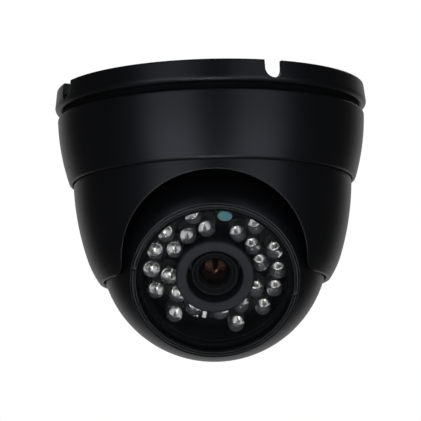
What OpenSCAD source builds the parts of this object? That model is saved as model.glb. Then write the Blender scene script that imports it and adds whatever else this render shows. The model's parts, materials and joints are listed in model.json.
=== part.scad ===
// Ceiling-mount eyeball dome camera, hanging down from its mounting face.
// Units are millimetres.  The origin is the centre of the mounting face, +Z points
// into the ceiling and -Y is the side that the lens faces.

/* [Base] */
// Outer radius of the base plate at its widest
base_r = 48; // [47.5:0.1:49]
// Height of the base plate's rim
base_h = 6.8; // [6.4:0.1:7.2]
// Thickness of the base plate's rim wall
rim_wall = 2.6; // [2:0.1:3]
// Thickness of the base plate's floor
floor_t = 3; // [2.5:0.1:3.4]
// Height of the dark seal groove between base and collar
groove_h = 1.8; // [1.4:0.1:2]
// Radius of the hole for the cable
cable_hole_r = 9; // [6:0.5:12]
// Diameter of the circle of mounting screw holes
screw_pcd = 60; // [52:1:64]
// Number of mounting screw holes
screw_count = 3; // [3:1:4]
// Radius of a mounting screw hole
screw_hole_r = 2.25; // [2:0.05:2.6]
// Outer radius of the pillar round a mounting screw hole
pillar_r = 4.5; // [4:0.1:5]
// Width of a cable notch in the rim
notch_w = 5.7; // [5:0.1:6]
// Depth of a cable notch from the mounting face
notch_d = 5.45; // [5:0.05:5.5]
// Number of cable notches in the rim
notch_count = 4; // [2:1:6]
// Turn of the first notch from the front, towards +X
notch_turn = 23.5; // [0:0.5:40]

/* [Collar and shroud] */
// Height of the lock collar
collar_h = 20.7; // [20:0.1:21]
// Outer radius of the collar at its top
collar_r = 47.25; // [47:0.05:47.5]
// Radius of the collar's vertical curve
collar_curve_r = 66.6; // [60:0.5:75]
// Radius of the thread between base and collar
thread_r = 44.4; // [44:0.1:44.6]
// Outer radius of the shroud just under the collar
shroud_r = 42.8; // [42.6:0.1:43]
// Wall thickness of the shroud
shroud_wall = 2; // [1.6:0.1:2.4]
// Radius of the arched opening in the shroud
arch_r = 27.7; // [27:0.1:28]
// Tilt of the arched opening below level
arch_tilt = 15; // [10:1:20]
// Radius where the arch runs out into the rim
arch_foot_r = 2.6; // [1.5:0.1:4]

/* [Ball] */
// Radius of the ball
ball_r = 35; // [34.8:0.1:35.1]
// Wall thickness of the ball
ball_wall = 2; // [1.6:0.1:2.4]
// Depth of the ball's centre below the mounting face
ball_depth = 49.4; // [49.2:0.1:49.8]
// Tilt of the lens axis below level
face_tilt = 33; // [0:1:57]
// Roll of the lens unit about its axis
face_roll = -11.5; // [-180:0.5:180]
// Radius of the round face cut into the ball
face_r = 25.3; // [25.2:0.05:25.5]

/* [Window and lamps] */
// Thickness of the window glass
glass_t = 1.6; // [1.2:0.1:1.8]
// Radius of the clear window inside the bezel
window_r = 23.4; // [23:0.1:23.6]
// Height of the lamp board's front above the ball's centre
board_top = 10.2; // [9.8:0.1:10.4]
// Radius of an infrared lamp
led_r = 2.5; // [2.4:0.05:2.5]
// Height of an infrared lamp above its board
led_h = 8.6; // [8:0.1:8.8]
// Radius of the inner ring of lamps
led_inner_r = 13.9; // [13.8:0.1:14]
// Radius of the outer ring of lamps
led_outer_r = 19.1; // [19:0.1:19.2]

/* [Lens] */
// Radius of the lens thread, M12
lens_thread_r = 6; // [6:0.1:6]
// Radius of the lens head
lens_head_r = 7; // [6.8:0.1:7.2]
// Height of the lens head's front above the ball's centre
lens_front = 19.2; // [18.6:0.1:19.5]
// Outer radius of the hood around the lens
hood_r = 11.9; // [11.6:0.1:12]
// Radius of the hood's opening
hood_hole_r = 8.4; // [8.2:0.1:8.5]
// Side of the square circuit boards
pcb_side = 30; // [28:0.5:31]

/* [Hidden] */
$fn = 96;

eps = 0.01;
far = 120;
fit_gap = 0.05;      // between parts that screw or press together
thread_gap = 0.08;   // radial play of the collar's thread
turn_gap = 0.3;      // between curved faces that turn on each other

// Heights on the Z axis
rim_z = -base_h;
floor_z = rim_z - groove_h;
floor_top = floor_z + floor_t;
collar_z = floor_z;
collar_foot = collar_z - collar_h;
boss_foot = collar_z - 10.9;
flange_top = boss_foot - turn_gap;
flange_t = 2;
washer_t = 0.7;
lip_top = flange_top - flange_t - washer_t - 0.2;
lip_r = shroud_r + turn_gap;
collar_head_r = 0.8;
collar_foot_r = 1.1;
ball_z = -ball_depth;
shroud_foot = ball_z - 10.5;

// Base plate details
rim_top_r = base_r - 0.6;
rim_edge_r = 1.6;
rim_top_ease = 0.4;
boss_lip_t = 2;
boss_wall = 3;
boss_lip_r = 39.5;
seal_r = 45.9;

// Shroud profile: one large arc that turns into a smaller one near the rim
shroud_curve_r = 82.5;
shroud_curve_z = -27.3;
shroud_curve_x = shroud_r - shroud_curve_r;
tuck_angle = 17.8;
tuck_r = 27;
tuck_cx = shroud_curve_x + (shroud_curve_r - tuck_r) * cos(tuck_angle);
tuck_cz = shroud_curve_z - (shroud_curve_r - tuck_r) * sin(tuck_angle);
shroud_flange_r = thread_r - turn_gap;
lip_bead_r = 0.8;
seat_r = ball_r + 0.4;
liner_r = ball_r + 0.15;
liner_out_r = ball_r + 1.1;
liner_high = -4;
liner_low = -8.5;
seat_land_top = -2.6;
key_w = 6;
key_turns = [90, 270];

// Pressure ring: a flat ring with a spherical seat, open at the rear for the cable
press_plate_r = shroud_r - shroud_wall - 0.35;
press_plate_t = 1.7;
press_hole_r = 26;
press_skirt_r = 30;
press_foot = flange_top - 9.2;
press_slot_w = 15;

// Lens frame: distances along the lens axis from the ball's centre
face_z = sqrt(ball_r * ball_r - face_r * face_r);
bezel_r = face_r - 0.12;
glass_front = face_z - 1;
glass_r = 24.3;
seal_t = 1;
seal_in_r = 22;
carrier_top = glass_front - glass_t - seal_t;
carrier_step = carrier_top - 2.4;
carrier_bore_r = 22.45;
carrier_flange_r = 24.6;
carrier_skirt_r = 23.75;
carrier_foot = 5.4;
pcb_t = 1.6;
led_board_r = 22.1;
led_board_hole_r = 8.5;
led_board_back = board_top - pcb_t;
led_flange_r = 2.85;
led_lead_w = 0.5;
led_lead_pitch = 2.54;
cell_r = 2.2;
cell_wall = 0.4;
cell_foot = 1.8;
cell_h = 2.6;
cell_lean = 27;
carrier_screw_r = 0.55;
carrier_screw_at = carrier_bore_r - 1;
outer_angles = [30, 60, 80, 98.5, 120, 150];
inner_angles = [20, 45, 70, 107, 135, 163];

// Lens and boards
lens_back = 2.6;
head_h = 6.2;
glass_eye_r = 4.6;
sensor_board_top = -3;
processor_board_top = -14.4;
mount_tube_r = 7.5;
mount_top = 8.2;
post_xy = pcb_side / 2 - 3;
post_r = 1.9;
board_corner_r = 20.2;
screw_r = 1;

// Cable gland on the lens axis at the rear of the ball
gland_face = -34.2;
gland_tip = -39;
gland_shaft_r = 5;
gland_flange_r = 6.5;
gland_neck_r = 4.5;
gland_bore_r = 1.9;
gland_seat = -31;
nut_t = 1.9;

// ---------------------------------------------------------------- shared shapes

// Points along an arc about c, from angle a0 to a1
function arc(c, r, a0, a1, n) =
    [for (i = [0 : n]) let (a = a0 + (a1 - a0) * i / n) c + r * [cos(a), sin(a)]];

// Centre of a small arc of radius e that runs on from a large arc of radius r about c, at height z
function ease_centre(c, r, e, z) = [c.x + sqrt(pow(r - e, 2) - pow(z - c.y, 2)), z];

// Angle from c to p
function heading(c, p) = atan2(p.y - c.y, p.x - c.x);

// Ring between two radii and two heights
module tube(r_in, r_out, z0, z1) {
    translate([0, 0, z0])
        difference() {
            cylinder(r = r_out, h = z1 - z0);
            translate([0, 0, -1])
                cylinder(r = r_in, h = z1 - z0 + 2);
        }
}

// Flat profile: the band between two radii and two heights
module band(r0, r1, z0, z1) {
    translate([r0, z0])
        square([r1 - r0, z1 - z0]);
}

// The ball's own frame: +Z out through the lens, +Y up across the face
module lens_frame() {
    translate([0, 0, ball_z])
        rotate([90 + face_tilt, 0, 0])
            rotate([0, 0, face_roll])
                children();
}

// Copies at equal turns about Z
module around(count, start = 0) {
    for (i = [0 : count - 1])
        rotate([0, 0, start + i * 360 / count])
            children();
}

// Copies at each listed angle on both sides of +Y
module both_sides(angles, r) {
    for (a = angles, side = [-1, 1])
        rotate([0, 0, side * a])
            translate([0, r, 0])
                children();
}

// Copies at the four corners of a square
module four_corners(xy) {
    for (x = [-xy, xy], y = [-xy, xy])
        translate([x, y, 0])
            children();
}

// ---------------------------------------------------------------- base

// Half-section: floor, drafted rim with a rounded lower edge, and the threaded boss with its lip
module base_profile() {
    wall_in = base_r - rim_wall;
    boss_in = thread_r - boss_wall;
    edge_c = [base_r - rim_edge_r, rim_z + rim_edge_r];
    polygon(concat(
        [[cable_hole_r, floor_top], [wall_in, floor_top], [wall_in, 0]],
        arc([rim_top_r - rim_top_ease, -rim_top_ease], rim_top_ease, 90, 0, 4),
        arc(edge_c, rim_edge_r, 0, -90, 8),
        [[thread_r, rim_z], [thread_r, boss_foot], [boss_lip_r, boss_foot],
         [boss_lip_r, boss_foot + boss_lip_t], [boss_in, boss_foot + boss_lip_t],
         [boss_in, floor_z], [cable_hole_r, floor_z]]
    ));
}

module rim_notch() {
    bottom = -notch_d + notch_w / 2;
    translate([0, -base_r - 2, 0])
        rotate([-90, 0, 0]) {
            translate([0, -bottom, 0])
                cylinder(d = notch_w, h = rim_wall + 4);
            translate([-notch_w / 2, -2, 0])
                cube([notch_w, 2 - bottom, rim_wall + 4]);
        }
}

// The screw pillars rise from the floor to the mounting face
module base_plate() {
    color([0.06, 0.06, 0.065])
        difference() {
            union() {
                rotate_extrude($fn = 180)
                    base_profile();
                around(screw_count, 90)
                    translate([screw_pcd / 2, 0, floor_top - 1])
                        cylinder(r = pillar_r, h = 1 - floor_top);
            }
            around(screw_count, 90)
                translate([screw_pcd / 2, 0, floor_z - 1])
                    cylinder(r = screw_hole_r, h = 2 - floor_z);
            around(notch_count, notch_turn)
                rim_notch();
        }
}

module base_seal() {
    color([0.02, 0.02, 0.02])
        tube(thread_r + fit_gap, seal_r, floor_z + 0.1, rim_z);
}

// ---------------------------------------------------------------- lock collar

// Half-section: a large arc outside with eased edges, a threaded bore and a lip inside
module collar_profile() {
    curve_c = [collar_r - collar_curve_r, collar_z + 0.2];
    head_c = ease_centre(curve_c, collar_curve_r, collar_head_r, collar_z - collar_head_r);
    foot_c = ease_centre(curve_c, collar_curve_r, collar_foot_r, collar_foot + collar_foot_r);
    head_a = heading(curve_c, head_c);
    foot_a = heading(curve_c, foot_c);
    bore_r = thread_r + thread_gap;
    polygon(concat(
        [[lip_r, collar_foot], [lip_r, lip_top], [bore_r, lip_top], [bore_r, collar_z]],
        arc(head_c, collar_head_r, 90, head_a, 5),
        arc(curve_c, collar_curve_r, head_a, foot_a, 20),
        arc(foot_c, collar_foot_r, foot_a, -90, 7)
    ));
}

module lock_collar() {
    color([0.07, 0.07, 0.075])
        rotate_extrude($fn = 180)
            collar_profile();
}

module slip_washer() {
    color([0.85, 0.85, 0.82])
        tube(lip_r, shroud_flange_r + 0.1, lip_top + 0.05, lip_top + 0.05 + washer_t);
}

// ---------------------------------------------------------------- shroud

// Angle, about the ball's centre, of the point at height dz on a circle of radius r
function seat_angle(dz, r) = asin(dz / r);

// Half-section: flange, outer wall, rim bead, spherical seat with the liner's groove, inner wall
module shroud_profile() {
    curve_c = [shroud_curve_x, shroud_curve_z];
    tuck_c = [tuck_cx, tuck_cz];
    ball_c = [0, ball_z];
    flange_foot = flange_top - flange_t;
    top_a = asin((flange_foot - shroud_curve_z) / shroud_curve_r);
    bead_c = ease_centre(tuck_c, tuck_r, lip_bead_r, shroud_foot + lip_bead_r);
    bead_a = heading(tuck_c, bead_c);
    groove_r = liner_out_r + fit_gap;
    low = liner_low - fit_gap;
    high = liner_high + fit_gap;
    inner_r = shroud_curve_r - shroud_wall;
    land_a = asin((ball_z + seat_land_top - shroud_curve_z) / inner_r);
    polygon(concat(
        [[shroud_r - shroud_wall, flange_top], [shroud_flange_r, flange_top],
         [shroud_flange_r, flange_foot]],
        arc(curve_c, shroud_curve_r, top_a, -tuck_angle, 20),
        arc(tuck_c, tuck_r, -tuck_angle, bead_a, 6),
        arc(bead_c, lip_bead_r, bead_a, -180, 10),
        arc(ball_c, seat_r, seat_angle(bead_c.y - ball_z, seat_r), seat_angle(low, seat_r), 2),
        arc(ball_c, groove_r, seat_angle(low, groove_r), seat_angle(high, groove_r), 4),
        arc(ball_c, seat_r, seat_angle(high, seat_r), seat_angle(seat_land_top, seat_r), 2),
        arc(curve_c, inner_r, land_a, top_a, 8)
    ));
}

// Outline of the arched opening, seen along its own axis
module arch_cutter(r = arch_r) {
    translate([0, 0, ball_z])
        rotate([90 + arch_tilt, 0, 0]) {
            cylinder(r = r, h = far, $fn = 180);
            translate([-r, -far, 0])
                cube([2 * r, far, far]);
        }
}

// Rounds the two corners where the arch meets the rim
module arch_feet() {
    for (side = [0, 1])
        mirror([side, 0, 0])
            translate([arch_r, -far, shroud_foot])
                difference() {
                    translate([-1, 0, -1])
                        cube([1 + arch_foot_r, far, 1 + arch_foot_r]);
                    translate([arch_foot_r, -1, arch_foot_r])
                        rotate([-90, 0, 0])
                            cylinder(r = arch_foot_r, h = far + 2);
                }
}

module dome_shroud() {
    color([0.06, 0.06, 0.065])
        difference() {
            rotate_extrude($fn = 180)
                shroud_profile();
            arch_cutter();
            arch_feet();
            for (turn = key_turns)
                rotate([0, 0, turn])
                    translate([-key_w / 2 - 0.2, -shroud_r + 0.4, flange_top - flange_t - 0.4])
                        cube([key_w + 0.4, shroud_wall + 1, flange_t + 1]);
        }
}

module pressure_ring() {
    foot = flange_top - press_plate_t;
    color([0.12, 0.12, 0.12])
        difference() {
            union() {
                tube(press_hole_r, press_plate_r, foot, flange_top);
                tube(press_hole_r, press_skirt_r, press_foot, foot + eps);
                for (turn = key_turns)
                    rotate([0, 0, turn])
                        translate([-key_w / 2, -shroud_r + 0.8, foot])
                            cube([key_w, shroud_wall + 1, press_plate_t]);
            }
            translate([0, 0, ball_z])
                sphere(r = ball_r + turn_gap, $fn = 180);
            translate([-press_slot_w / 2, 0, -far])
                cube([press_slot_w, far, far]);
        }
}

// Low-friction strip in the shroud's seat, open where the arch is
module seat_liner() {
    color([0.03, 0.03, 0.03])
        translate([0, 0, ball_z])
            difference() {
                rotate_extrude($fn = 180)
                    intersection() {
                        difference() {
                            circle(r = liner_out_r, $fn = 360);
                            circle(r = liner_r, $fn = 360);
                        }
                        band(0, ball_r + 3, liner_low, liner_high);
                    }
                translate([0, 0, -ball_z])
                    arch_cutter(arch_r + 1.2);
            }
}

// ---------------------------------------------------------------- ball

module ball_profile() {
    difference() {
        intersection() {
            union() {
                difference() {
                    circle(r = ball_r, $fn = 360);
                    circle(r = ball_r - ball_wall, $fn = 360);
                }
                band(carrier_skirt_r, carrier_skirt_r + 2.8, 12, face_z);
                band(0, gland_shaft_r + 4, gland_face, gland_seat);
            }
            circle(r = ball_r, $fn = 360);
            band(0, ball_r, -ball_r, ball_r);
        }
        band(0, face_r, carrier_top, ball_r);
        band(0, carrier_flange_r + 0.1, carrier_step - 0.05, ball_r);
        band(0, carrier_skirt_r + 0.1, 0, ball_r);
        band(0, gland_shaft_r + fit_gap, -ball_r, 0);
        band(0, gland_flange_r + 0.4, -ball_r - 1, gland_face);
    }
}

module ball_shell() {
    color([0.06, 0.06, 0.065])
        lens_frame()
            rotate_extrude($fn = 180)
                ball_profile();
}

// Screwed ring with two raised ribs and a bevel down to the glass
module bezel_profile() {
    pocket_r = glass_r + fit_gap;
    polygon([
        [window_r, glass_front + 0.02], [pocket_r, glass_front + 0.02],
        [pocket_r, carrier_top + fit_gap], [bezel_r, carrier_top + fit_gap],
        [bezel_r, face_z - 0.25], [bezel_r - 0.2, face_z],
        [bezel_r - 0.65, face_z], [bezel_r - 0.8, face_z - 0.35],
        [bezel_r - 0.95, face_z - 0.35], [bezel_r - 1.1, face_z - 0.1],
        [bezel_r - 1.35, face_z - 0.1], [window_r, glass_front + 0.3]
    ]);
}

module bezel_ring() {
    slot_w = 1.5;
    color([0.05, 0.05, 0.05])
        lens_frame()
            difference() {
                rotate_extrude($fn = 180)
                    bezel_profile();
                around(2, 0)
                    translate([window_r + 0.5, -slot_w / 2, face_z - 0.6])
                        cube([far, slot_w, 2]);
            }
}

module window_glass() {
    color([0.8, 0.85, 0.9, 0.25])
        lens_frame()
            translate([0, 0, glass_front - glass_t])
                cylinder(r = glass_r, h = glass_t, $fn = 180);
}

module window_seal() {
    color([0.03, 0.03, 0.03])
        lens_frame()
            tube(seal_in_r, glass_r, carrier_top, carrier_top + seal_t, $fn = 180);
}

// Plastic cup that holds the lamp board; its flange is clamped under the seal
module module_carrier() {
    ledge_r = board_corner_r + 0.4;
    color([0.05, 0.05, 0.055])
        lens_frame()
            difference() {
                union() {
                    tube(window_r - 0.5, carrier_flange_r, carrier_step, carrier_top, $fn = 180);
                    tube(carrier_bore_r, carrier_skirt_r, carrier_foot, carrier_step + eps, $fn = 180);
                    tube(ledge_r, carrier_skirt_r, carrier_foot, led_board_back, $fn = 180);
                }
                around(3, 30)
                    translate([0, carrier_screw_at, carrier_foot - 1])
                        cylinder(r = carrier_screw_r + fit_gap, h = 8);
            }
}

// Screws from the back of the carrier's ledge into the lamp board
module carrier_screws() {
    head_r = 1.2;
    head_h = 0.9;
    color([0.75, 0.75, 0.72])
        lens_frame()
            around(3, 30)
                translate([0, carrier_screw_at, 0]) {
                    translate([0, 0, carrier_foot - head_h])
                        cylinder(r = head_r, h = head_h);
                    translate([0, 0, carrier_foot - eps])
                        cylinder(r = carrier_screw_r, h = board_top - 0.2 - carrier_foot);
                }
}

// ---------------------------------------------------------------- lamps

module led_board() {
    color([0.02, 0.05, 0.03])
        lens_frame()
            difference() {
                tube(led_board_hole_r, led_board_r, led_board_back, board_top, $fn = 180);
                around(3, 30)
                    translate([0, carrier_screw_at, led_board_back - 1])
                        cylinder(r = carrier_screw_r + fit_gap, h = pcb_t + 2);
            }
}

// Small resistors and a transistor in the gap between the lamps
module led_board_parts() {
    color([0.7, 0.7, 0.68])
        lens_frame() {
            for (a = [172.5, 195], r = [17.1, 18.4])
                rotate([0, 0, a])
                    translate([-0.8, r, board_top])
                        cube([1.6, 0.8, 0.5]);
            rotate([0, 0, 180])
                translate([-0.65, 16.5, board_top])
                    cube([1.3, 2.2, 1]);
        }
}

// Plug socket on the lamp board's back, opposite its small parts
module led_connector() {
    color([0.9, 0.9, 0.86])
        lens_frame()
            plug_socket([0, 16.9, led_board_back], 7);
}

// Clear lamp body: flange, barrel and domed end
module led_body() {
    barrel_h = led_h - led_r;
    cylinder(r = led_flange_r, h = 1, $fn = 48);
    cylinder(r = led_r, h = barrel_h, $fn = 48);
    translate([0, 0, barrel_h])
        sphere(r = led_r, $fn = 48);
}

// Lead frame: the post with its cup, the second post and their leads
module led_frame() {
    neck_z = 2;
    for (side = [-1, 1])
        translate([(side * led_lead_pitch - led_lead_w) / 2, -led_lead_w / 2, -pcb_t - 1.2])
            cube([led_lead_w, led_lead_w, pcb_t + 1.4 + neck_z]);
    translate([-(led_lead_pitch + led_lead_w) / 2, -led_lead_w / 2, neck_z])
        cube([1.9, led_lead_w, 1.7]);
    translate([-0.35, 0, neck_z + 1.6])
        difference() {
            cylinder(r = 0.95, h = 1.1, $fn = 32);
            translate([0, 0, 0.3])
                cylinder(r1 = 0.35, r2 = 0.8, h = 0.81, $fn = 32);
        }
    translate([0.95, -led_lead_w / 2, neck_z])
        cube([0.6, led_lead_w, 2.3]);
}

module ir_leds_outer() {
    color([0.9, 0.92, 0.95, 0.5])
        lens_frame()
            translate([0, 0, board_top])
                both_sides(outer_angles, led_outer_r)
                    led_body();
}

module ir_leds_inner() {
    color([0.9, 0.92, 0.95, 0.5])
        lens_frame()
            translate([0, 0, board_top])
                both_sides(inner_angles, led_inner_r)
                    led_body();
}

module led_leads_outer() {
    color([0.8, 0.8, 0.78])
        lens_frame()
            translate([0, 0, board_top])
                both_sides(outer_angles, led_outer_r)
                    led_frame();
}

module led_leads_inner() {
    color([0.8, 0.8, 0.78])
        lens_frame()
            translate([0, 0, board_top])
                both_sides(inner_angles, led_inner_r)
                    led_frame();
}

// The photocell's place between the top lamps, leaning from the board towards the lens
module cell_frame() {
    translate([0, led_outer_r, board_top])
        rotate([cell_lean, 0, 0])
            children();
}

module photocell() {
    color([0.45, 0.65, 0.68])
        lens_frame()
            cell_frame()
                translate([0, 0, cell_foot])
                    cylinder(r = cell_r, h = cell_h, $fn = 48);
}

// Tube round the photocell, cut level where it stands on the board
module photocell_sleeve() {
    sleeve_r = cell_r + cell_wall;
    color([0.03, 0.03, 0.03])
        lens_frame()
            difference() {
                cell_frame()
                    difference() {
                        translate([0, 0, -sleeve_r])
                            cylinder(r = sleeve_r, h = sleeve_r + cell_foot + cell_h - 0.5, $fn = 48);
                        translate([0, 0, cell_foot])
                            cylinder(r = cell_r + fit_gap, h = cell_h + 1, $fn = 48);
                    }
                translate([-board_top / 2, 0, 0])
                    cube([board_top, far, board_top]);
            }
}

// ---------------------------------------------------------------- lens

// Rubber hood: a tube that flares out and bears on the back of the glass
module hood_profile() {
    top = glass_front - glass_t - 0.1;
    flare = top - 1.8;
    bore_r = led_board_hole_r + 0.2;
    tube_r = bore_r + 1.3;
    polygon([
        [bore_r, board_top], [tube_r, board_top], [tube_r, flare - 2.1],
        [hood_r - 0.4, flare], [hood_r, flare + 0.5], [hood_r, top - 0.6],
        [hood_r - 0.2, top - 0.2], [hood_r - 0.6, top],
        [hood_hole_r + 0.5, top], [hood_hole_r + 0.1, top - 0.2], [hood_hole_r, top - 0.6],
        [hood_hole_r, top - 2.4], [bore_r, top - 3]
    ]);
}

module lens_hood() {
    color([0.1, 0.1, 0.105])
        lens_frame()
            rotate_extrude($fn = 120)
                hood_profile();
}

module lens_barrel() {
    head_foot = lens_front - head_h;
    color([0.04, 0.04, 0.04])
        lens_frame()
            difference() {
                union() {
                    translate([0, 0, lens_back])
                        cylinder(r = lens_thread_r, h = head_foot - lens_back + eps);
                    translate([0, 0, head_foot])
                        cylinder(r = lens_head_r, h = head_h);
                }
                // front recess, flared towards the front
                translate([0, 0, lens_front - 3.2])
                    cylinder(r = 5.6, h = 4);
                translate([0, 0, lens_front - 0.9])
                    cylinder(r1 = 5.6, r2 = 6.5, h = 0.91);
                translate([0, 0, lens_back - 1])
                    cylinder(r = 4, h = lens_front);
            }
}

// Stepped ring that holds the front element in the barrel
module lens_retainer() {
    seat = lens_front - 3.2;
    color([0.05, 0.05, 0.05])
        lens_frame()
            difference() {
                translate([0, 0, seat])
                    cylinder(r = 5.55, h = 2.2);
                translate([0, 0, seat - 1])
                    cylinder(r = glass_eye_r, h = 5);
                translate([0, 0, seat + 1.3])
                    cylinder(r1 = glass_eye_r, r2 = 5.2, h = 0.91);
            }
}

// Plano-convex element with its convex side forward
module lens_front_element() {
    curve_r = 7.5;
    seat = lens_front - 3.2;
    color([0.5, 0.35, 0.25, 0.5])
        lens_frame()
            intersection() {
                translate([0, 0, seat])
                    cylinder(r = glass_eye_r - fit_gap, h = 4);
                translate([0, 0, seat + 1.9 - curve_r])
                    sphere(r = curve_r, $fn = 120);
            }
}

module lens_rear_element() {
    color([0.6, 0.7, 0.75, 0.5])
        lens_frame()
            translate([0, 0, lens_back + 0.5])
                cylinder(r = 4 - fit_gap, h = 2.4);
}

module lens_lock_ring() {
    color([0.6, 0.6, 0.58])
        lens_frame()
            tube(lens_thread_r + fit_gap, 8, mount_top + 0.1, mount_top + 1.9);
}

module lens_mount() {
    half = 8;
    color([0.05, 0.05, 0.05])
        lens_frame()
            difference() {
                union() {
                    translate([-half, -half, sensor_board_top])
                        cube([2 * half, 2 * half, 4]);
                    translate([0, 0, sensor_board_top])
                        cylinder(r = mount_tube_r, h = mount_top - sensor_board_top);
                    for (side = [-1, 1])
                        translate([side * 10, 0, sensor_board_top])
                            cylinder(r = 2.2, h = 4);
                }
                translate([0, 0, 1.2])
                    cylinder(r = lens_thread_r + fit_gap, h = far);
                translate([-5.1, -5.1, sensor_board_top - 1])
                    cube([10.2, 10.2, 4.1]);
                translate([0, 0, -1])
                    cylinder(r = 4.4, h = 3);
                for (side = [-1, 1])
                    translate([side * 10, 0, sensor_board_top - 1])
                        cylinder(r = 0.8, h = 4);
            }
}

module ir_cut_filter() {
    color([0.5, 0.75, 0.8, 0.6])
        lens_frame()
            translate([-4.8, -4.8, -0.6])
                cube([9.6, 9.6, 0.6]);
}

module image_sensor() {
    color([0.15, 0.17, 0.2])
        lens_frame()
            translate([-4.2, -3.8, sensor_board_top])
                cube([8.4, 7.6, 1.4]);
}

// ---------------------------------------------------------------- boards

// Square board with corners clipped to pass through the face opening
module square_board(top) {
    translate([0, 0, top - pcb_t])
        difference() {
            intersection() {
                translate([-pcb_side / 2, -pcb_side / 2, 0])
                    cube([pcb_side, pcb_side, pcb_t]);
                cylinder(r = board_corner_r, h = pcb_t);
            }
            four_corners(post_xy)
                translate([0, 0, -1])
                    cylinder(r = screw_r + 0.1, h = pcb_t + 2);
        }
}

module sensor_board() {
    color([0.02, 0.2, 0.08])
        lens_frame()
            square_board(sensor_board_top);
}

module sensor_board_parts() {
    color([0.1, 0.1, 0.1])
        lens_frame()
            for (chip = [[-12, 4, 3, 5], [-12, -10, 3.6, 4], [8.6, -9.5, 3.4, 3.4], [8.6, 5, 2.4, 4]])
                translate([chip[0], chip[1], sensor_board_top])
                    cube([chip[2], chip[3], 1]);
}

module processor_board() {
    color([0.02, 0.2, 0.08])
        lens_frame()
            square_board(processor_board_top);
}

module processor_chips() {
    color([0.08, 0.08, 0.08])
        lens_frame()
            translate([0, 0, processor_board_top]) {
                translate([-5.5, -4, 0])
                    cube([9, 9, 1.2]);
                translate([6, -8, 0])
                    cube([5, 4, 1.2]);
                translate([-9.4, -11.5, 0])
                    cube([6, 4, 1.4]);
            }
}

module capacitors() {
    color([0.2, 0.2, 0.22])
        lens_frame()
            for (x = [-6, 0, 6])
                translate([x, 10.5, processor_board_top])
                    cylinder(r = 2.1, h = 5.6, $fn = 48);
}

// Plug socket of a given width that hangs from the back of a board, open downwards
module plug_socket(at, width) {
    socket_d = 4;
    socket_h = 3;
    wall = 0.7;
    translate(at)
        difference() {
            translate([-width / 2, -socket_d / 2, -socket_h])
                cube([width, socket_d, socket_h]);
            translate([wall - width / 2, wall - socket_d / 2, -socket_h - 1])
                cube([width - 2 * wall, socket_d - 2 * wall, socket_h]);
        }
}

// Plug sockets on the backs of the two square boards
module board_connectors() {
    color([0.92, 0.92, 0.88])
        lens_frame() {
            plug_socket([0, 0, processor_board_top - pcb_t], 10);
            plug_socket([0, -11, processor_board_top - pcb_t], 12);
            plug_socket([0, 11, sensor_board_top - pcb_t], 8);
        }
}

// Spacers from the processor board to the sensor board and on to the lamp board
module board_spacers() {
    color([0.8, 0.68, 0.35])
        lens_frame()
            four_corners(post_xy) {
                tube(screw_r, post_r, processor_board_top, sensor_board_top - pcb_t, $fn = 32);
                tube(screw_r, post_r, sensor_board_top, led_board_back, $fn = 32);
            }
}

module board_screws() {
    back = processor_board_top - pcb_t;
    color([0.78, 0.78, 0.75])
        lens_frame()
            four_corners(post_xy) {
                translate([0, 0, back - 1.2])
                    cylinder(r = 1.8, h = 1.2, $fn = 32);
                translate([0, 0, back - 0.1])
                    cylinder(r = screw_r - fit_gap, h = led_board_back - back, $fn = 32);
            }
}

// ---------------------------------------------------------------- cable gland

// The ball rolls on this bush, which the cable passes through
module cable_gland() {
    color([0.04, 0.04, 0.04])
        lens_frame()
            difference() {
                union() {
                    translate([0, 0, gland_tip])
                        cylinder(r = gland_neck_r, h = 4);
                    translate([0, 0, gland_face - 2])
                        cylinder(r = gland_flange_r, h = 1.85);
                    translate([0, 0, gland_face - 0.2])
                        cylinder(r = gland_shaft_r, h = gland_seat - gland_face + nut_t + 0.6);
                }
                translate([0, 0, gland_tip - 1])
                    cylinder(r = gland_bore_r, h = far / 4);
            }
}

module gland_nut() {
    color([0.75, 0.75, 0.72])
        lens_frame()
            translate([0, 0, gland_seat + 0.15])
                difference() {
                    cylinder(r = 8, h = nut_t, $fn = 6);
                    translate([0, 0, -1])
                        cylinder(r = gland_shaft_r + 0.02, h = nut_t + 2);
                }
}

// ---------------------------------------------------------------- parts by name

base_plate();
base_seal();
lock_collar();
slip_washer();
dome_shroud();
pressure_ring();
seat_liner();
cable_gland();
gland_nut();
ball_shell();
bezel_ring();
window_glass();
window_seal();
module_carrier();
led_board();
led_board_parts();
led_connector();
ir_leds_outer();
ir_leds_inner();
led_leads_outer();
led_leads_inner();
photocell();
photocell_sleeve();
lens_hood();
lens_barrel();
lens_retainer();
lens_front_element();
lens_rear_element();
lens_lock_ring();
lens_mount();
ir_cut_filter();
image_sensor();
sensor_board();
sensor_board_parts();
board_spacers();
processor_board();
processor_chips();
capacitors();
board_connectors();
board_screws();
carrier_screws();
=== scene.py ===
"""Looks of the ceiling-mount eyeball dome camera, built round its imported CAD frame.

Lengths are in millimetres where a name ends in _mm and in metres elsewhere.
The object's frame: origin on the mounting face, +Z into the ceiling, -Y the lens side.
"""
import json
import math
import bmesh
import bpy
from mathutils import Matrix, Vector


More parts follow.
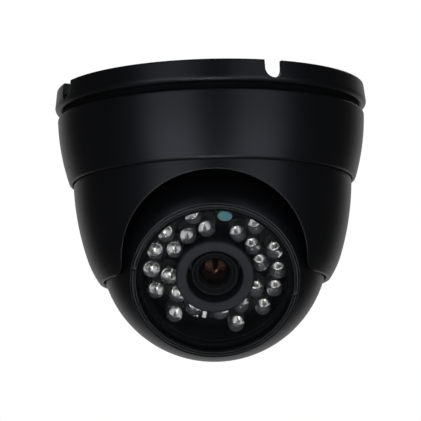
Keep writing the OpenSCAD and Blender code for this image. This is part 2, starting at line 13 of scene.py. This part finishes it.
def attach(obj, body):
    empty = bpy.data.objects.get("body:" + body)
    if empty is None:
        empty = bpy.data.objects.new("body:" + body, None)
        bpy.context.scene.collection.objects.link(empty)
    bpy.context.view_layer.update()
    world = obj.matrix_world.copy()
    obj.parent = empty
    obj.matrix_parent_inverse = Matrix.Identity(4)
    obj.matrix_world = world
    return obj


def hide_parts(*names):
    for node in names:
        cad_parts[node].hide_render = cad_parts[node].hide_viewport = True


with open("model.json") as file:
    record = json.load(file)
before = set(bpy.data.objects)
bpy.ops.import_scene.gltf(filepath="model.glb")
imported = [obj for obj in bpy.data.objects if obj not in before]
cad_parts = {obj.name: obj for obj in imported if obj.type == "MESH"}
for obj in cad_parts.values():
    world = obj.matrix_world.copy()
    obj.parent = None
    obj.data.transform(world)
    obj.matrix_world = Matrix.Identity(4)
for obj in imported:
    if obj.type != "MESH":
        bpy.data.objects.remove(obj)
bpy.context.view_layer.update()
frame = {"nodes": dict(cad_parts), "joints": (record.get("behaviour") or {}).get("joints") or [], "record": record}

MM = 0.001

# ------------------------------------------------------------------ sizes from the frame

nodes = frame["nodes"]
joints = {j["name"]: j for j in frame["joints"]}
ball_centre = Vector(joints["roll"]["pos_m"])
lens_axis = Vector(joints["roll"]["axis"]).normalized()

# Lamp layout in millimetres and degrees, the same as the design's
face_roll_deg = -11.5
led_r = 2.5
led_flange_r = 2.85
led_flange_h = 1.0
led_h = 8.6
led_board_top = 10.2
led_inner_r = 13.9
led_outer_r = 19.1
led_outer_angles = [30, 60, 80, 98.5, 120, 150]
led_inner_angles = [20, 45, 70, 107, 135, 163]


def lens_frame():
    """Matrix of the ball's own frame: +Z out through the lens, +Y up across the face."""
    right = Vector((1, 0, 0))
    up = lens_axis.cross(right)
    basis = Matrix((right, up, lens_axis)).transposed().to_4x4()
    roll = Matrix.Rotation(math.radians(face_roll_deg), 4, "Z")
    return Matrix.Translation(ball_centre) @ basis @ roll


LENS = lens_frame()

# ------------------------------------------------------------------ material helpers


def new_material(name):
    mat = bpy.data.materials.new(name)
    mat.use_nodes = True
    tree = mat.node_tree
    tree.nodes.clear()
    out = tree.nodes.new("ShaderNodeOutputMaterial")
    bsdf = tree.nodes.new("ShaderNodeBsdfPrincipled")
    tree.links.new(bsdf.outputs[0], out.inputs["Surface"])
    return mat, tree, bsdf


def add(tree, kind, **settings):
    node = tree.nodes.new(kind)
    for key, value in settings.items():
        if key.startswith("in_"):
            node.inputs[key[3:].replace("_", " ")].default_value = value
        else:
            setattr(node, key, value)
    return node


def set_sockets(bsdf, values):
    for socket, value in values.items():
        bsdf.inputs[socket.replace("_", " ")].default_value = value


def object_coords(tree):
    return add(tree, "ShaderNodeTexCoord").outputs["Object"]


def noise(tree, coords, scale, detail, roughness):
    node = add(tree, "ShaderNodeTexNoise", in_Scale=scale, in_Detail=detail, in_Roughness=roughness)
    tree.links.new(coords, node.inputs["Vector"])
    return node.outputs["Fac"]


def spread(tree, factor, low, high):
    """Maps the middle of a noise onto low..high."""
    noise_low, noise_high = 0.3, 0.7
    node = add(tree, "ShaderNodeMapRange", in_From_Min=noise_low, in_From_Max=noise_high,
               in_To_Min=low, in_To_Max=high)
    tree.links.new(factor, node.inputs["Value"])
    return node.outputs["Result"]


def blend_colours(tree, factor, a, b):
    node = add(tree, "ShaderNodeMix", data_type="RGBA")
    node.inputs["A"].default_value = (*a, 1)
    node.inputs["B"].default_value = (*b, 1)
    tree.links.new(factor, node.inputs["Factor"])
    return node.outputs["Result"]


def bump(tree, bsdf, height, distance, edge):
    """Fine relief, over edges that catch light as if rounded to the radius edge."""
    rounded = add(tree, "ShaderNodeBevel", samples=6, in_Radius=edge)
    node = add(tree, "ShaderNodeBump", in_Strength=1.0, in_Distance=distance)
    tree.links.new(rounded.outputs["Normal"], node.inputs["Normal"])
    tree.links.new(height, node.inputs["Height"])
    tree.links.new(node.outputs["Normal"], bsdf.inputs["Normal"])


def textured(name, dark, light, rough, metallic=0.0, grain=900.0, depth=0.00002, patch=60.0,
             edge=0.0002, **sockets):
    """A surface with slow colour patches, uneven gloss and a fine grain in its bump.

    grain and patch are noise scales per metre; depth and edge are metres of relief and of
    edge rounding; rough is the range of the roughness.
    """
    mat, tree, bsdf = new_material(name)
    coords = object_coords(tree)
    patches = noise(tree, coords, patch, detail=5.0, roughness=0.6)
    fine = noise(tree, coords, grain, detail=3.0, roughness=0.6)
    colour = blend_colours(tree, spread(tree, patches, 0.0, 1.0), dark, light)
    tree.links.new(colour, bsdf.inputs["Base Color"])
    tree.links.new(spread(tree, fine, rough[0], rough[1]), bsdf.inputs["Roughness"])
    bsdf.inputs["Metallic"].default_value = metallic
    set_sockets(bsdf, sockets)
    bump(tree, bsdf, fine, depth, edge)
    return mat


def clear(name, colour, ior, rough, **sockets):
    """A clear material whose tint drifts a little."""
    mat, tree, bsdf = new_material(name)
    coords = object_coords(tree)
    drift = noise(tree, coords, scale=150.0, detail=2.0, roughness=0.5)
    paler_by = 1.02
    paler = tuple(min(1.0, c * paler_by) for c in colour)
    tree.links.new(blend_colours(tree, spread(tree, drift, 0.0, 1.0), colour, paler),
                   bsdf.inputs["Base Color"])
    bsdf.inputs["IOR"].default_value = ior
    bsdf.inputs["Roughness"].default_value = rough
    bsdf.inputs["Transmission Weight"].default_value = 1.0
    set_sockets(bsdf, sockets)
    return mat


def thin_glass(name, alpha, ior):
    """A flat pane that light passes straight, with a faint film of dust in its gloss."""
    mat, tree, bsdf = new_material(name)
    coords = object_coords(tree)
    film = noise(tree, coords, scale=40.0, detail=6.0, roughness=0.7)
    cleanest, dustiest = 0.015, 0.06
    tree.links.new(spread(tree, film, cleanest, dustiest), bsdf.inputs["Roughness"])
    bsdf.inputs["Base Color"].default_value = (0.01, 0.011, 0.012, 1)
    bsdf.inputs["Alpha"].default_value = alpha
    bsdf.inputs["IOR"].default_value = ior
    return mat


# ------------------------------------------------------------------ materials

PAINT = textured("satin_black_paint", (0.004, 0.004, 0.0045), (0.006, 0.006, 0.0065),
                 rough=(0.31, 0.37), grain=1600.0, depth=0.000004, edge=0.0007)
BEZEL = textured("satin_black_turned", (0.004, 0.004, 0.0045), (0.006, 0.006, 0.0065),
                 rough=(0.32, 0.4), grain=1800.0, depth=0.000006, edge=0.00015,
                 Specular_IOR_Level=0.3)
RUBBER = textured("black_rubber", (0.002, 0.002, 0.002), (0.004, 0.004, 0.004),
                  rough=(0.7, 0.85), Specular_IOR_Level=0.15)
HOOD = textured("hood_rubber", (0.010, 0.011, 0.014), (0.013, 0.014, 0.018),
                rough=(0.5, 0.62), grain=2200.0)
BLACK_PLASTIC = textured("black_plastic", (0.002, 0.002, 0.002), (0.004, 0.004, 0.004),
                         rough=(0.5, 0.65))
WHITE_PLASTIC = textured("white_plastic", (0.72, 0.71, 0.67), (0.8, 0.79, 0.75),
                         rough=(0.4, 0.55))
LENS_BLACK = textured("lens_black", (0.005, 0.005, 0.005), (0.007, 0.007, 0.007),
                      rough=(0.5, 0.62), Specular_IOR_Level=0.2)
DARK_BOARD = textured("dark_board", (0.0015, 0.002, 0.002), (0.003, 0.004, 0.0035),
                      rough=(0.4, 0.55), Specular_IOR_Level=0.2)
GREEN_BOARD = textured("green_board", (0.006, 0.05, 0.02), (0.01, 0.08, 0.03),
                       rough=(0.3, 0.45))
CHIP = textured("chip_package", (0.015, 0.015, 0.015), (0.03, 0.03, 0.03), rough=(0.5, 0.65))
STEEL = textured("plain_steel", (0.55, 0.55, 0.54), (0.68, 0.68, 0.66),
                 rough=(0.22, 0.38), metallic=1.0)
DARK_STEEL = textured("darkened_steel", (0.02, 0.02, 0.021), (0.03, 0.03, 0.031),
                      rough=(0.4, 0.5))
TIN = textured("tinned_lead", (0.93, 0.91, 0.86), (0.98, 0.97, 0.93),
               rough=(0.1, 0.2), metallic=1.0)
BRASS = textured("brass", (0.6, 0.42, 0.15), (0.7, 0.5, 0.2), rough=(0.2, 0.35), metallic=1.0)
CAN = textured("capacitor_can", (0.5, 0.5, 0.52), (0.62, 0.62, 0.64),
               rough=(0.25, 0.4), metallic=1.0)
SENSOR = textured("sensor_package", (0.03, 0.035, 0.05), (0.05, 0.06, 0.08),
                  rough=(0.15, 0.25))
TEAL = textured("photocell_face", (0.22, 0.50, 0.51), (0.26, 0.57, 0.58), rough=(0.3, 0.4),
                Coat_Weight=0.4, Coat_Roughness=0.1)
WINDOW = thin_glass("window_glass", alpha=0.05, ior=2.4)
LAMP = clear("clear_lamp", (0.98, 0.955, 0.91), ior=1.53, rough=0.005, Transmission_Weight=0.9)
OPTIC = clear("coated_lens", (0.09, 0.04, 0.028), ior=1.7, rough=0.0,
              Specular_Tint=(0.5, 0.23, 0.13, 1.0))
FILTER = clear("filter_glass", (0.45, 0.8, 0.85), ior=1.5, rough=0.0)

BY_SLOT = {
    "housing": PAINT, "bezel": BEZEL, "rubber": RUBBER, "hood_rubber": HOOD,
    "black_plastic": BLACK_PLASTIC, "white_plastic": WHITE_PLASTIC, "window": WINDOW,
    "lamp_clear": LAMP, "photocell": TEAL, "lens_black": LENS_BLACK, "lens_glass": OPTIC,
    "filter_glass": FILTER, "sensor": SENSOR, "green_board": GREEN_BOARD,
    "dark_board": DARK_BOARD, "chip": CHIP, "capacitor": CAN, "brass": BRASS, "steel": STEEL,
}

# Nodes whose finish differs from the rest of their slot
SPECIAL = {"led_leads_outer": TIN, "led_leads_inner": TIN, "lens_lock_ring": DARK_STEEL}


def dress_cad_nodes():
    """Every CAD node takes its own special finish, or else the material of its record slot."""
    for part in frame["record"]["subparts"]:
        obj = nodes[part["node"]]
        obj.data.materials.clear()
        obj.data.materials.append(SPECIAL.get(part["node"], BY_SLOT[part["material_slot"]]))


dress_cad_nodes()

# ------------------------------------------------------------------ mesh helpers


def lathe(profile, steps):
    """bmesh of a closed half-section [(r, z), ...] in millimetres turned about Z."""
    bm = bmesh.new()
    rings = []
    for i in range(steps):
        a = 2 * math.pi * i / steps
        rings.append([bm.verts.new((r * MM * math.cos(a), r * MM * math.sin(a), z * MM))
                      for r, z in profile])
    count = len(profile)
    for i in range(steps):
        a, b = rings[i], rings[(i + 1) % steps]
        for j in range(count):
            k = (j + 1) % count
            bm.faces.new((a[j], b[j], b[k], a[k]))
    weld_dist, sliver_dist = 1e-7, 1e-8
    bmesh.ops.remove_doubles(bm, verts=bm.verts, dist=weld_dist)
    bmesh.ops.dissolve_degenerate(bm, edges=bm.edges, dist=sliver_dist)
    bmesh.ops.recalc_face_normals(bm, faces=bm.faces)
    return bm


def arc(c, r, a0, a1, n):
    """Points along an arc about c, from a0 to a1 degrees."""
    return [(c[0] + r * math.cos(math.radians(a0 + (a1 - a0) * i / n)),
             c[1] + r * math.sin(math.radians(a0 + (a1 - a0) * i / n))) for i in range(n + 1)]


def piece(name, bm, body, material, slot, *replaced):
    """Makes a piece from a bmesh, in the frame, riding on a body in place of CAD nodes."""
    mesh = bpy.data.meshes.new(name)
    bm.to_mesh(mesh)
    bm.free()
    mesh.shade_smooth()
    obj = bpy.data.objects.new(name, mesh)
    bpy.context.scene.collection.objects.link(obj)
    mesh.materials.append(material)
    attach(obj, body)
    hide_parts(*replaced)


# ------------------------------------------------------------------ lamps

lamp_steps = 40


def lamp_profile():
    """Half-section: chamfered flange, a small fillet above it, barrel and domed end."""
    ease = 0.15
    fillet = 0.12
    barrel = led_h - led_r
    dome_points = 14
    return ([(0, 0), (led_flange_r - ease, 0), (led_flange_r, ease),
             (led_flange_r, led_flange_h - ease), (led_flange_r - ease, led_flange_h),
             (led_r + fillet, led_flange_h), (led_r, led_flange_h + ease)]
            + arc((0, barrel), led_r, 0, 90, dome_points))


def lamp_ring(name, angles, ring_r, replaced):
    """All the clear lamps of one ring as one piece."""
    whole = bmesh.new()
    for side in (-1, 1):
        for angle in angles:
            bm = lathe(lamp_profile(), lamp_steps)
            place = (LENS @ Matrix.Rotation(math.radians(side * angle), 4, "Z")
                     @ Matrix.Translation((0, ring_r * MM, led_board_top * MM)))
            bm.transform(place)
            scratch = bpy.data.meshes.new("scratch")
            bm.to_mesh(scratch)
            bm.free()
            whole.from_mesh(scratch)
            bpy.data.meshes.remove(scratch)
    piece(name, whole, "ball", LAMP, "lamp_clear", replaced)


lamp_ring("clear_lamps_outer", led_outer_angles, led_outer_r, "ir_leds_outer")
lamp_ring("clear_lamps_inner", led_inner_angles, led_inner_r, "ir_leds_inner")

# ------------------------------------------------------------------ studio

room_level = 0.03
backdrop_level = 0.52
backdrop_starts = 0.65   # Y of a direction where the backdrop begins
backdrop_full = 0.95     # Y of a direction where it reaches its level
floor_z = -1.2
floor_half = 1.5

light_aim = Vector((0, 0, -0.04))
panel_distance = 0.9
spark_distance = 0.88
rear_distance = 1.1
tall_panel = (0.62, 1.35)   # width and height
low_panel = (0.62, 0.6)
panel_spread = 120          # degrees
spark_spread = 90
cool = (0.77, 0.845, 1.0)
pale_blue = (0.92, 0.96, 1.0)
rear_blue = (0.95, 0.97, 1.0)
white = (1.0, 1.0, 1.0)


def make_floor():
    bm = bmesh.new()
    bmesh.ops.create_grid(bm, x_segments=1, y_segments=1, size=floor_half)
    mesh = bpy.data.meshes.new("floor")
    bm.to_mesh(mesh)
    bm.free()
    obj = bpy.data.objects.new("floor", mesh)
    obj.location = (0, 0, floor_z)
    bpy.context.scene.collection.objects.link(obj)
    mat, tree, bsdf = new_material("pale_floor")
    bsdf.inputs["Base Color"].default_value = (0.85, 0.85, 0.85, 1)
    bsdf.inputs["Roughness"].default_value = 0.8
    mesh.materials.append(mat)


def softbox(name, azimuth, elevation, size, radiance, colour=cool, distance=panel_distance,
            spread_deg=panel_spread):
    """A rectangular light that faces the ball. Azimuth 0 is the lens side, towards +X."""
    a, e = math.radians(azimuth), math.radians(elevation)
    away = Vector((math.sin(a) * math.cos(e), -math.cos(a) * math.cos(e), math.sin(e)))
    light = bpy.data.lights.new(name, "AREA")
    light.shape = "RECTANGLE"
    light.size, light.size_y = size
    light.energy = radiance * math.pi * light.size * light.size_y
    light.color = colour
    light.spread = math.radians(spread_deg)
    obj = bpy.data.objects.new(name, light)
    obj.visible_camera = False
    obj.location = light_aim + away * distance
    obj.rotation_mode = "QUATERNION"
    obj.rotation_quaternion = (-away).to_track_quat("-Z", "Y")
    bpy.context.scene.collection.objects.link(obj)


def make_lights():
    """Two tall panels with brighter lower halves, two small lamps below, a rear fill."""
    softbox("tall_left", azimuth=-29, elevation=1, size=tall_panel, radiance=0.32)
    softbox("tall_right", azimuth=36, elevation=1, size=tall_panel, radiance=0.28)
    softbox("low_left", azimuth=-29, elevation=-25, size=low_panel, radiance=0.32)
    softbox("low_right", azimuth=36, elevation=-25, size=low_panel, radiance=0.25)
    softbox("spark_left", azimuth=-12, elevation=-49, size=(0.05, 0.05), radiance=16,
            colour=white, distance=spark_distance, spread_deg=spark_spread)
    softbox("spark_right", azimuth=7.5, elevation=-49, size=(0.19, 0.19), radiance=1.3,
            colour=pale_blue, distance=spark_distance, spread_deg=spark_spread)
    softbox("rear_top", azimuth=165, elevation=48, size=(0.9, 0.9), radiance=0.6,
            colour=rear_blue, distance=rear_distance)


def make_world():
    """White to the camera; felt as a white backdrop behind the object and a dim room in front."""
    world = bpy.data.worlds.new("studio")
    bpy.context.scene.world = world
    world.use_nodes = True
    tree = world.node_tree
    tree.nodes.clear()
    out = tree.nodes.new("ShaderNodeOutputWorld")
    seen = add(tree, "ShaderNodeBackground", in_Color=(1, 1, 1, 1), in_Strength=1.0)
    felt = add(tree, "ShaderNodeBackground", in_Strength=1.0)
    coords = add(tree, "ShaderNodeTexCoord")
    split = add(tree, "ShaderNodeSeparateXYZ")
    tree.links.new(coords.outputs["Generated"], split.inputs[0])
    ramp = add(tree, "ShaderNodeMapRange", interpolation_type="SMOOTHSTEP",
               in_From_Min=backdrop_starts, in_From_Max=backdrop_full,
               in_To_Min=room_level, in_To_Max=backdrop_level)
    tree.links.new(split.outputs["Y"], ramp.inputs["Value"])
    tree.links.new(ramp.outputs["Result"], felt.inputs["Color"])
    path = add(tree, "ShaderNodeLightPath")
    mix = add(tree, "ShaderNodeMixShader")
    tree.links.new(path.outputs["Is Camera Ray"], mix.inputs[0])
    tree.links.new(felt.outputs[0], mix.inputs[1])
    tree.links.new(seen.outputs[0], mix.inputs[2])
    tree.links.new(mix.outputs[0], out.inputs["Surface"])


def make_camera():
    """A long lens a little below the object, looking up at it."""
    distance = 0.95
    focal_mm = 264.06
    sensor_mm = 36
    elevation = math.radians(-9.13)
    roll = math.radians(-1.44)
    aim = Vector((-0.00085, 0, -0.03776))
    data = bpy.data.cameras.new("camera")
    data.lens = focal_mm
    data.sensor_width = sensor_mm
    data.clip_start = 0.05
    data.clip_end = 20
    cam = bpy.data.objects.new("camera", data)
    back = Vector((0, -math.cos(elevation), math.sin(elevation)))
    cam.location = aim + back * distance
    cam.rotation_mode = "QUATERNION"
    turn = (-back).to_track_quat("-Z", "Y")
    cam.rotation_quaternion = turn @ Matrix.Rotation(roll, 3, "Z").to_quaternion()
    bpy.context.scene.collection.objects.link(cam)
    bpy.context.scene.camera = cam


make_floor()
make_world()
make_lights()
make_camera()
bpy.context.scene.view_settings.view_transform = "Standard"
